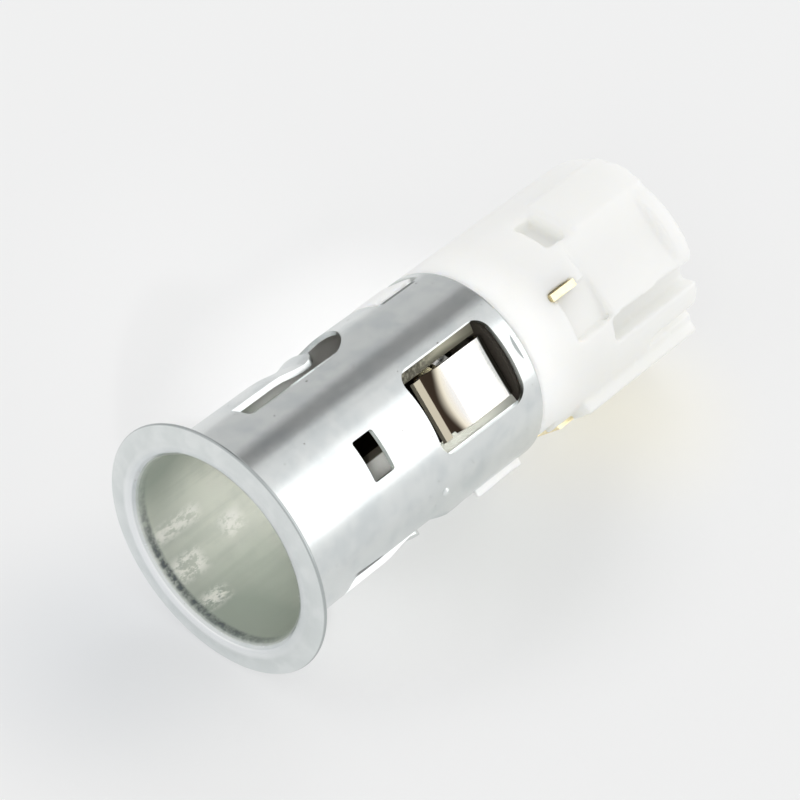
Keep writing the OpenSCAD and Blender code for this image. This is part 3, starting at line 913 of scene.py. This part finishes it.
@dataclass
class Studio:
    """Floor, lamps and camera.

    The camera stands at seen, in millimetres left, up and back from the mouth's middle.
    The floor patches are a painted warm glow under the housing, a painted shadow in the
    flange's shade and a painted contact shadow beside the shell; each gives its middle and
    reach in millimetres and its tint. A beam has its watts and the radius in millimetres that
    it lights, a lamp its azimuth, elevation and watts, and a card what card() takes.
    """

    azimuth: float = -49.215
    elevation: float = 43.4
    lens: float = 158.0
    mouth: Point = (-1.399, 0.0, 0.057)
    seen: Point = (-18.17, 14.90, 341.9)
    floor_colour: Colour = (0.895, 0.90, 0.90)
    floor_light_and_shade_patches: tuple[tuple[Point, float, Colour], ...] = (
        # painted warm light under the housing, then painted shadows in the flange's shade and
        # beside the shell
        ((50.0, -8.0, 0.0), 20.0, (1.0, 0.955, 0.77)),
        ((-9.0, 9.0, 0.0), 24.0, (0.66, 0.69, 0.72)),
        ((28.0, -9.0, 0.0), 28.0, (0.60, 0.62, 0.60)),
    )
    floor_share: float = 0.5
    world_strength: float = 0.82
    wall: Colour = (0.89, 0.89, 0.89)
    floor_size: float = 6.0
    beam_distance: float = 0.35
    beam_angle: float = 10.0
    beam_slant: float = 50.0
    mouth_beam: tuple[float, float] = (4.4, 9.0)
    window_beam: tuple[float, float] = (36.0, 5.8)
    small_window: Point = (-0.6, 10.5, 14.3)
    lamps: tuple[tuple[str, float, float, float], ...] = (
        ("key_lamp", 25.0, 45.0, 1.1),
        ("mouth_lamp", 214.0, 28.0, 0.8),
        ("side_lamp", -40.0, 15.0, 0.9),
    )
    cards: tuple[tuple[str, float, float, float, float, float], ...] = (
        ("bright_card", 4.0, 0.7, 0.86, 0.5, 1.7),
        ("dark_card", -38.0, 0.6, 0.22, 0.6, 0.26),
        ("grey_card", -66.0, 0.65, 0.9, 0.7, 0.64),
    )

    def to_camera(self) -> Vector:
        """Returns the unit vector that points from the socket to the camera."""
        return unit(self.azimuth - 90.0, self.elevation)

    def middle(self) -> Vector:
        """Returns the middle of the socket's length."""
        return SPACE.place(0, 0, 30)

    def camera(self) -> None:
        """Places the camera as the photograph has it."""
        right = unit(self.azimuth, 0.0)
        back = self.to_camera()
        up = back.cross(right)
        x, y, z = self.seen
        place = (Vector(self.mouth) - x * right + y * up + z * back) * MM
        data = bpy.data.cameras.new("camera")
        data.lens, data.sensor_width = self.lens, 36.0
        data.clip_start, data.clip_end = 0.01, 50.0
        camera = bpy.data.objects.new("camera", data)
        bpy.context.scene.collection.objects.link(camera)
        camera.matrix_world = Matrix.Translation(place) @ Matrix(
            (right, up, back)
        ).transposed().to_4x4()
        bpy.context.scene.camera = camera

    def floor(self) -> None:
        """Lays a wide pale floor under the socket."""
        deselect()
        bpy.ops.mesh.primitive_plane_add(
            size=self.floor_size, location=(0, 0, CAD_BOX[0].z)
        )
        floor = bpy.context.object
        floor.name = "floor"
        sheet = Sheet("floor")
        sheet.feed("Base Color", self.floor_light_and_shade(sheet))
        sheet.feed("Roughness", 0.9)
        sheet.feed("Specular IOR Level", 0.0)
        glow = sheet.node("ShaderNodeEmission")
        glow.inputs["Color"].default_value = (*self.wall, 1)
        mix = sheet.node("ShaderNodeMixShader")
        seen = seen_rays(sheet.tree)
        sheet.join(sheet.times(seen, self.floor_share), mix.inputs[0])
        sheet.join(sheet.shader.outputs[0], mix.inputs[1])
        sheet.join(glow.outputs[0], mix.inputs[2])
        sheet.join(mix.outputs[0], sheet.tree.nodes["Material Output"].inputs[0])
        floor.data.materials.append(sheet.material)

    def floor_light_and_shade(self, sheet: Sheet) -> Socket:
        """Paints a warm glow on the floor under the brass and nylon, a cool shadow in the flange's
        shade and a contact shadow beside the shell.
        """
        coords = sheet.node("ShaderNodeTexCoord")
        colour: Socket | Colour = self.floor_colour
        for place, reach, tint in self.floor_light_and_shade_patches:
            off = sheet.node("ShaderNodeVectorMath")
            off.operation = "DISTANCE"
            sheet.join(coords.outputs["Object"], off.inputs[0])
            off.inputs[1].default_value = tuple(v * MM for v in place)
            near = sheet.step(off.outputs["Value"], 0.0, reach * MM, 1.0, 0.0)
            colour = sheet.blend(near, colour, tint)
        return colour

    def world(self) -> None:
        """Lights the room evenly, and shows a white wall to the camera and to gloss."""
        world = bpy.data.worlds.new("room")
        bpy.context.scene.world = world
        world.use_nodes = True
        tree = world.node_tree
        light = tree.nodes["Background"]
        light.inputs["Color"].default_value = (1, 1, 1, 1)
        light.inputs["Strength"].default_value = self.world_strength
        wall = tree.nodes.new("ShaderNodeBackground")
        wall.inputs["Color"].default_value = (*self.wall, 1)
        mix = tree.nodes.new("ShaderNodeMixShader")
        tree.links.new(seen_rays(tree), mix.inputs[0])
        tree.links.new(light.outputs[0], mix.inputs[1])
        tree.links.new(wall.outputs[0], mix.inputs[2])
        tree.links.new(mix.outputs[0], tree.nodes["World Output"].inputs[0])

    def panel_turn(self, angle: float) -> Matrix:
        """Finds the way a panel faces to show in the tube at one angle.

        Args:
            angle: degrees round the axis at which the camera sees the panel reflected.

        Returns:
            The turn, whose third column points from the socket to the panel.
        """
        back = self.to_camera()
        middle = SPACE.place(0, 0, 0)
        out = (SPACE.place(angle, 1, 0) - middle).normalized()
        axis = (SPACE.place(0, 0, 1) - middle).normalized()
        towards = 2 * back.dot(out) * out - back
        length = (axis - axis.dot(towards) * towards).normalized()
        return Matrix((length.cross(towards), length, towards)).transposed().to_4x4()

    def lamp(self, name: str, azimuth: float, elevation: float, power: float) -> None:
        """Hangs a wide soft lamp that gives the forms their shade and leaves no glint.

        Args:
            name: the lamp's name.
            azimuth: degrees round the vertical.
            elevation: degrees above the floor.
            power: watts.
        """
        data = bpy.data.lights.new(name, "AREA")
        data.shape = "DISK"
        data.size = 0.5
        data.energy = power
        towards = unit(azimuth, elevation)
        hang(data, self.middle() + towards, towards)

    def beam(
        self, name: str, place: Vector, towards: Vector, power: float, spread: float
    ) -> None:
        """Aims a narrow lamp at one opening, so that it lights the inside only.

        Args:
            name: the lamp's name.
            place: the opening's middle.
            towards: unit vector from there to the lamp.
            power: watts.
            spread: radius of the lit spot, in millimetres.
        """
        data = bpy.data.lights.new(name, "SPOT")
        data.energy = power
        data.spot_size = 2 * math.atan(spread * MM / self.beam_distance)
        data.spot_blend = 0.5
        data.shadow_soft_size = 0.02
        lamp = hang(data, place + towards * self.beam_distance, towards)
        lamp.visible_camera = False

    def beams(self) -> None:
        """Lights the bore through the mouth, and the far wall through the small window."""
        middle = SPACE.place(0, 0, 0)
        axis = (SPACE.place(0, 0, 1) - middle).normalized()
        out = (SPACE.place(self.beam_angle, 1, 0) - middle).normalized()
        slant = math.radians(self.beam_slant)
        towards = out * math.sin(slant) - axis * math.cos(slant)
        self.beam("mouth_beam", middle, towards, *self.mouth_beam)
        window = SPACE.place(*self.small_window)
        self.beam("window_beam", window, self.to_camera(), *self.window_beam)

    def card(
        self,
        name: str,
        angle: float,
        distance: float,
        width: float,
        length: float,
        grey: float,
    ) -> None:
        """Stands a grey card that only shows in the tube's reflections.

        Args:
            name: the card's name.
            angle: degrees round the axis at which it shows.
            distance: metres from the socket.
            width: metres across the tube's axis.
            length: metres along it.
            grey: its brightness.
        """
        deselect()
        bpy.ops.mesh.primitive_plane_add(size=1, location=(0, 0, 0))
        card = bpy.context.object
        card.name = name
        turn = self.panel_turn(angle)
        place = self.middle() + turn.col[2].to_3d() * distance
        card.data.transform(
            Matrix.Translation(place) @ turn @ Matrix.Diagonal((width, length, 1, 1))
        )
        sheet = Sheet(name)
        sheet.feed("Base Color", (0.0, 0.0, 0.0))
        sheet.feed("Emission Color", (grey, grey, grey))
        sheet.feed("Emission Strength", 1.0)
        sheet.feed("Specular IOR Level", 0.0)
        card.data.materials.append(sheet.material)
        card.visible_camera = False
        card.visible_diffuse = False
        card.visible_shadow = False

    def build(self) -> None:
        """Sets up the whole studio."""
        bpy.context.scene.view_settings.view_transform = "Standard"
        self.camera()
        self.floor()
        self.world()
        for lamp in self.lamps:
            self.lamp(*lamp)
        self.beams()
        for card in self.cards:
            self.card(*card)
        LOG.info("studio is set")


def main() -> None:
    """Builds and dresses every piece, then the studio."""
    logging.basicConfig(level=logging.INFO, format="%(name)s: %(message)s")
    steel = PlatedSteel().material()
    nylon = Nylon().material()
    nickel = SpringNickel("nickel", (0.82, 0.80, 0.76), (0.78, 0.75, 0.70), 0.12).material()
    brass = Polished("brass", (0.93, 0.83, 0.55), (0.86, 0.74, 0.44), 0.26).material()
    fibre = Fibre().material()
    finish_piece(moulded_copy("housing", "nylon_housing", 0.24, 12), nylon)
    for node, material in (
        ("shell", steel),
        ("centre_contact", nickel),
        ("rear_washer", steel),
        ("centre_rivet", brass),
        ("centre_terminal", brass),
        ("ground_terminal", brass),
        ("side_contact", brass),
        ("heat_washer", fibre),
    ):
        dress_node(node, material)
    SpringClip().build(nickel)
    WindowLining().build(DullSteel().material())
    Studio().build()


if __name__ == "__main__":
    main()
